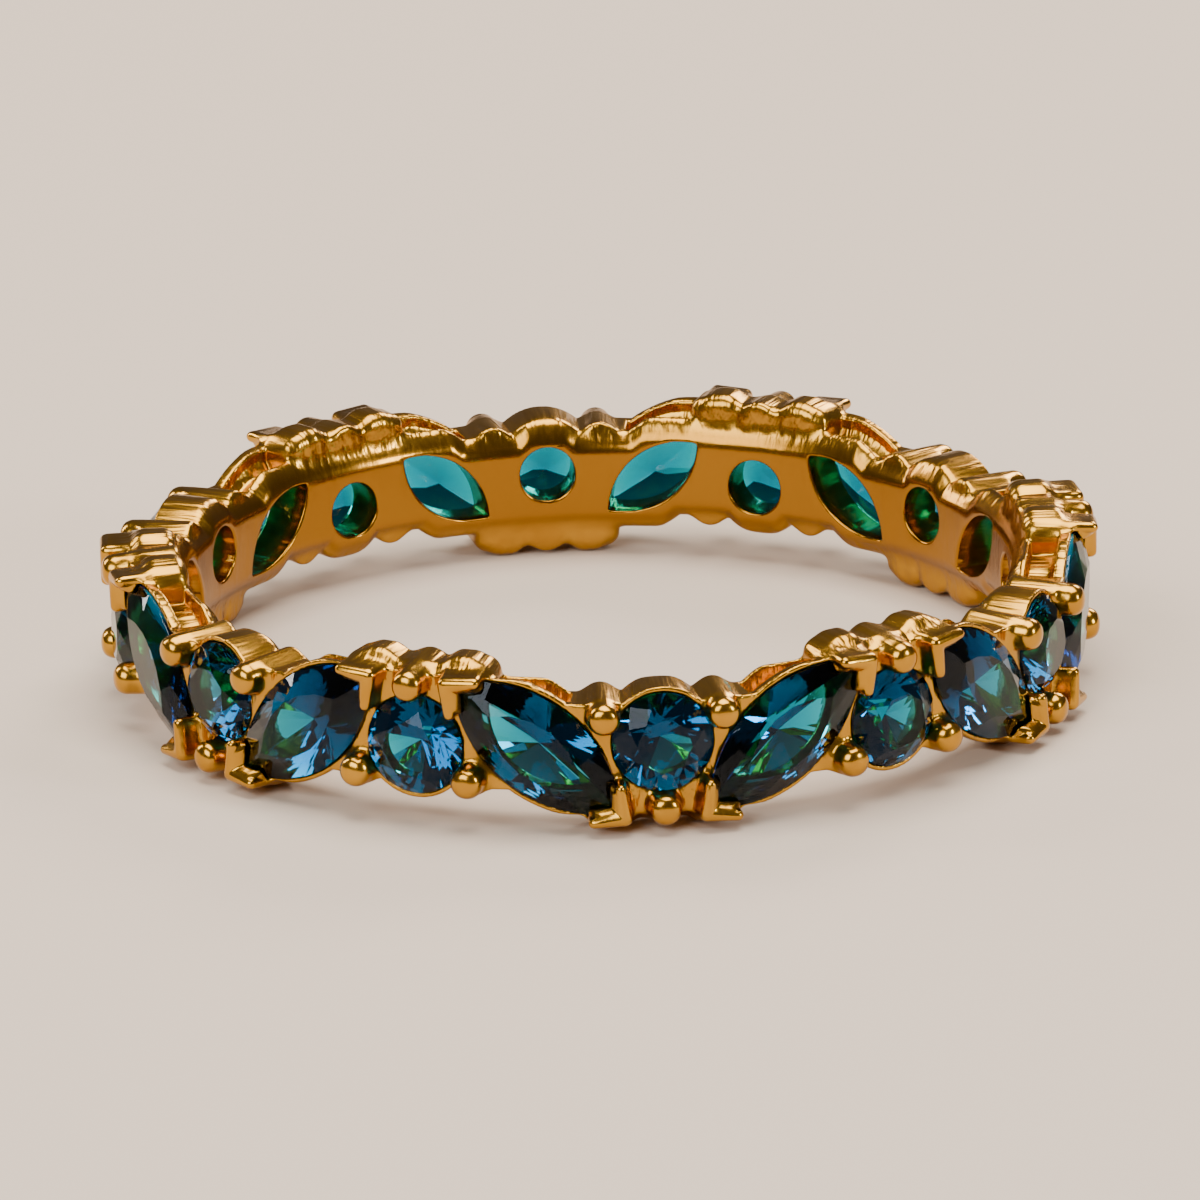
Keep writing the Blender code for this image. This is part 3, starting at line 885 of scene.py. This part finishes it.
# %% [markdown]
# ## Setting the stones
# The same stone repeats round the ring, which is what Geometry Nodes are for. The tree places points on a circle,
# puts the cut stone on each so that its table looks outwards, and leans it by the tilt, one way and the other in
# turn. A round stone is also turned about its own axis by a random amount, because a setter never lines up the
# facets, and that makes neighbours sparkle differently.

# %% A point for each stone
def stone_points(tree, put):
    """A point for each stone, its angle round the ring, and a sign that changes from one stone to the next."""
    index = add_node(tree, "GeometryNodeInputIndex")
    step = add_node(tree, "ShaderNodeMath", operation="DIVIDE", i0=2 * math.pi, i1=put["Count"])
    passed = add_node(tree, "ShaderNodeMath", operation="MULTIPLY", i0=index, i1=step)
    angle = add_node(tree, "ShaderNodeMath", operation="ADD", i0=passed, i1=put["First Angle"])
    odd = add_node(tree, "ShaderNodeMath", operation="MODULO", i0=index, i1=2.0)
    twice = add_node(tree, "ShaderNodeMath", operation="MULTIPLY", i0=odd, i1=2.0)
    sign = add_node(tree, "ShaderNodeMath", operation="SUBTRACT", i0=1.0, i1=twice)
    shift = add_node(tree, "ShaderNodeMath", operation="MULTIPLY", i0=sign, i1=put["Shift"])
    height = add_node(tree, "ShaderNodeMath", operation="ADD", i0=put["Middle Height"], i1=shift)
    sine = add_node(tree, "ShaderNodeMath", operation="SINE", i0=angle)
    cosine = add_node(tree, "ShaderNodeMath", operation="COSINE", i0=angle)
    x = add_node(tree, "ShaderNodeMath", operation="MULTIPLY", i0=put["Girdle Radius"], i1=sine)
    towards_camera = add_node(tree, "ShaderNodeMath", operation="MULTIPLY", i0=put["Girdle Radius"], i1=cosine)
    y = add_node(tree, "ShaderNodeMath", operation="MULTIPLY", i0=towards_camera, i1=-1.0)
    spot = add_node(tree, "ShaderNodeCombineXYZ", X=x, Y=y, Z=height)
    dots = add_node(tree, "GeometryNodePoints", Count=put["Count"], Position=spot)
    return dots, angle, sign


print("points: one every", round(math.degrees(2 * STONE_ANGLE)), "degrees for each kind of stone")

# %% Tree that sets stones round the ring
TREE_INPUTS = {
    "Stone": "Geometry", "Count": "Int", "Girdle Radius": "Float", "Middle Height": "Float", "First Angle": "Float",
    "Shift": "Float", "Lean": "Float", "Random Turn": "Float", "Seed": "Int", "Material": "Material",
}
TABLE_OUTWARDS = math.pi / 2


def setting_tree():
    tree = bpy.data.node_groups.new("set_stones", "GeometryNodeTree")
    for name, kind in TREE_INPUTS.items():
        tree.interface.new_socket(name, in_out="INPUT", socket_type=f"NodeSocket{kind}")
    tree.interface.new_socket("Stones", in_out="OUTPUT", socket_type="NodeSocketGeometry")
    put = {socket.name: socket for socket in add_node(tree, "NodeGroupInput").outputs}
    dots, angle, sign = stone_points(tree, put)
    standing = add_node(tree, "ShaderNodeCombineXYZ", X=TABLE_OUTWARDS, Z=angle)
    own = add_node(
        tree, "FunctionNodeRandomValue", data_type="FLOAT", i2=0.0, i3=put["Random Turn"], Seed=put["Seed"]
    )
    lean = add_node(tree, "ShaderNodeMath", operation="MULTIPLY", i0=sign, i1=put["Lean"])
    turn = add_node(tree, "ShaderNodeMath", operation="ADD", i0=lean, i1=own.outputs[1])
    turning = add_node(tree, "ShaderNodeCombineXYZ", Z=turn)
    both = add_node(tree, "FunctionNodeRotateRotation", rotation_space="LOCAL", i0=standing, i1=turning)
    copies = add_node(tree, "GeometryNodeInstanceOnPoints", Points=dots, Instance=put["Stone"], Rotation=both)
    real = add_node(tree, "GeometryNodeRealizeInstances", Geometry=copies)
    dressed = add_node(tree, "GeometryNodeSetMaterial", Geometry=real, Material=put["Material"])
    add_node(tree, "NodeGroupOutput", i0=dressed)
    return tree


set_stones = setting_tree()
print("tree:", set_stones.name, "with", len(set_stones.nodes), "nodes")


# %% Set both kinds of stones
def set_round_the_ring(name, mesh, node_prefix, **values):
    """Makes a piece of twelve stones. A value is named for the tree's input, with _ for a space."""
    piece = bpy.data.objects.new(name, mesh)
    bpy.context.scene.collection.objects.link(piece)
    modifier = piece.modifiers.new("set", "NODES")
    modifier.node_group = set_stones
    slots = {s.name: s.identifier for s in set_stones.interface.items_tree if s.in_out == "INPUT"}
    for key, value in values.items():
        modifier[slots[key.replace("_", " ")]] = value
    settle(piece)
    nodes = [f"{node_prefix}_{i + 1:02d}" for i in range(STONES // 2)]
    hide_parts(*nodes)
    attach(piece, "root")
    print(name, len(piece.data.polygons), "facets")


SAME_FOR_BOTH = {
    "Count": STONES // 2,
    "Girdle_Radius": GIRDLE_RADIUS * MM,
    "Middle_Height": HALF_HEIGHT * MM,
    "Material": crystal,
}
set_round_the_ring(
    "round_stones", round_cut, "round_stone", First_Angle=0.0, Shift=ROUND_SHIFT * MM, Lean=0.0,
    Random_Turn=math.pi / 4, Seed=3, **SAME_FOR_BOTH,
)
set_round_the_ring(
    "marquise_stones", marquise_cut, "marquise_stone", First_Angle=STONE_ANGLE, Shift=0.0, Lean=TILT,
    Random_Turn=0.0, Seed=1, **SAME_FOR_BOTH,
)

# %% [markdown]
# ## The stage
# A jeweller's photograph is taken with a long lens from a little above the ring. The ring stands on a pale matt floor
# under one large lamp, which gives soft light and a soft shadow. Two lamps behind it draw the rims, and two in front
# light the stones.

# %% Floor
FLOOR_SIZE = 3.0  # in metres
FLOOR_COLOUR = "#D0BFAE"
FLOOR_ROUGHNESS = 0.7
floor_mesh = bpy.data.meshes.new("floor")
half = FLOOR_SIZE / 2
floor_mesh.from_pydata([(-half, -half, 0), (half, -half, 0), (half, half, 0), (-half, half, 0)], [], [(0, 1, 2, 3)])
floor = bpy.data.objects.new("floor", floor_mesh)
bpy.context.scene.collection.objects.link(floor)
floor_look, tree = new_material("matt_paper")
shader = add_node(tree, "ShaderNodeBsdfPrincipled", Base_Color=linear(FLOOR_COLOUR), Roughness=FLOOR_ROUGHNESS)
add_node(tree, "ShaderNodeOutputMaterial", Surface=shader)
floor_mesh.materials.append(floor_look)
floor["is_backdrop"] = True
print("floor:", FLOOR_SIZE, "m wide in", floor_look.name)

# %% Lamps and surroundings
ROOM_COLOUR = "#E9DFD6"
ROOM_STRENGTH = 0.15
LAMPS_AIM = (0, 0, 0.002)
# Each lamp's name, its place and size in metres, its power in watts and its colour
LAMPS = (
    ("overhead", (0.03, 0.02, 0.42), (0.36, 0.30), 3.2, "#FFF8F0"),
    ("back_right", (0.16, 0.24, 0.16), (0.10, 0.10), 0.5, "#FFF4E6"),
    ("back_left", (-0.22, 0.16, 0.14), (0.05, 0.16), 0.4, "#FFF8F0"),
    ("front_left", (-0.20, -0.22, 0.20), (0.24, 0.18), 1.0, "#FFFFFF"),
    ("front_right", (0.26, -0.18, 0.12), (0.04, 0.09), 0.5, "#F6FAFF"),
)


def lamp(name, place, size, power, colour):
    light = bpy.data.lights.new(name, "AREA")
    light.shape = "RECTANGLE"
    light.size, light.size_y = size
    light.energy = power
    light.color = linear(colour)[:3]
    lit = bpy.data.objects.new(name, light)
    bpy.context.scene.collection.objects.link(lit)
    lit.location = place
    lit.rotation_euler = (Vector(LAMPS_AIM) - Vector(place)).to_track_quat("-Z", "Y").to_euler()


world = bpy.data.worlds.new("studio")
bpy.context.scene.world = world
world.use_nodes = True
room = world.node_tree.nodes["Background"]
room.inputs["Color"].default_value = linear(ROOM_COLOUR)
room.inputs["Strength"].default_value = ROOM_STRENGTH
for row in LAMPS:
    lamp(*row)
print("lamps:", len(LAMPS), "with", round(sum(row[3] for row in LAMPS), 1), "W in all")

# %% [markdown]
# ## The camera
# The view is that of the photograph. Its angles, its distance and its slight roll were fitted to points of the ring,
# and the lens is long, so the far side looks only a little smaller than the near one.

# %% Camera at the photograph's angle
CAMERA_DISTANCE = 379.43
ELEVATION = math.radians(17.85)
TURN = math.radians(7.147)
ROLL = math.radians(-1.04)
LENS = 540.0
SENSOR_WIDTH = 36
NEAREST, FARTHEST = 0.01, 10  # what the camera sees, in metres
centre = Vector((0, 0, HALF_HEIGHT)) * MM
away = Vector((0, -math.cos(ELEVATION), math.sin(ELEVATION)))
away.rotate(Matrix.Rotation(-TURN, 3, "Z"))
eye = bpy.data.cameras.new("camera")
camera = bpy.data.objects.new("camera", eye)
bpy.context.scene.collection.objects.link(camera)
camera.matrix_world = (-away).to_track_quat("-Z", "Y").to_matrix().to_4x4() @ Matrix.Rotation(ROLL, 4, "Z")
camera.location = centre + away * CAMERA_DISTANCE * MM
eye.lens = LENS
eye.sensor_width = SENSOR_WIDTH
eye.clip_start, eye.clip_end = NEAREST, FARTHEST
bpy.context.scene.camera = camera
print("camera:", round(CAMERA_DISTANCE), "mm away, view", round(math.degrees(eye.angle), 2), "degrees wide")

# %% The box of what is drawn, and the end
low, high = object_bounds()
print("visual box in mm:", [round(1000 * (h - l), 2) for l, h in zip(low, high)])
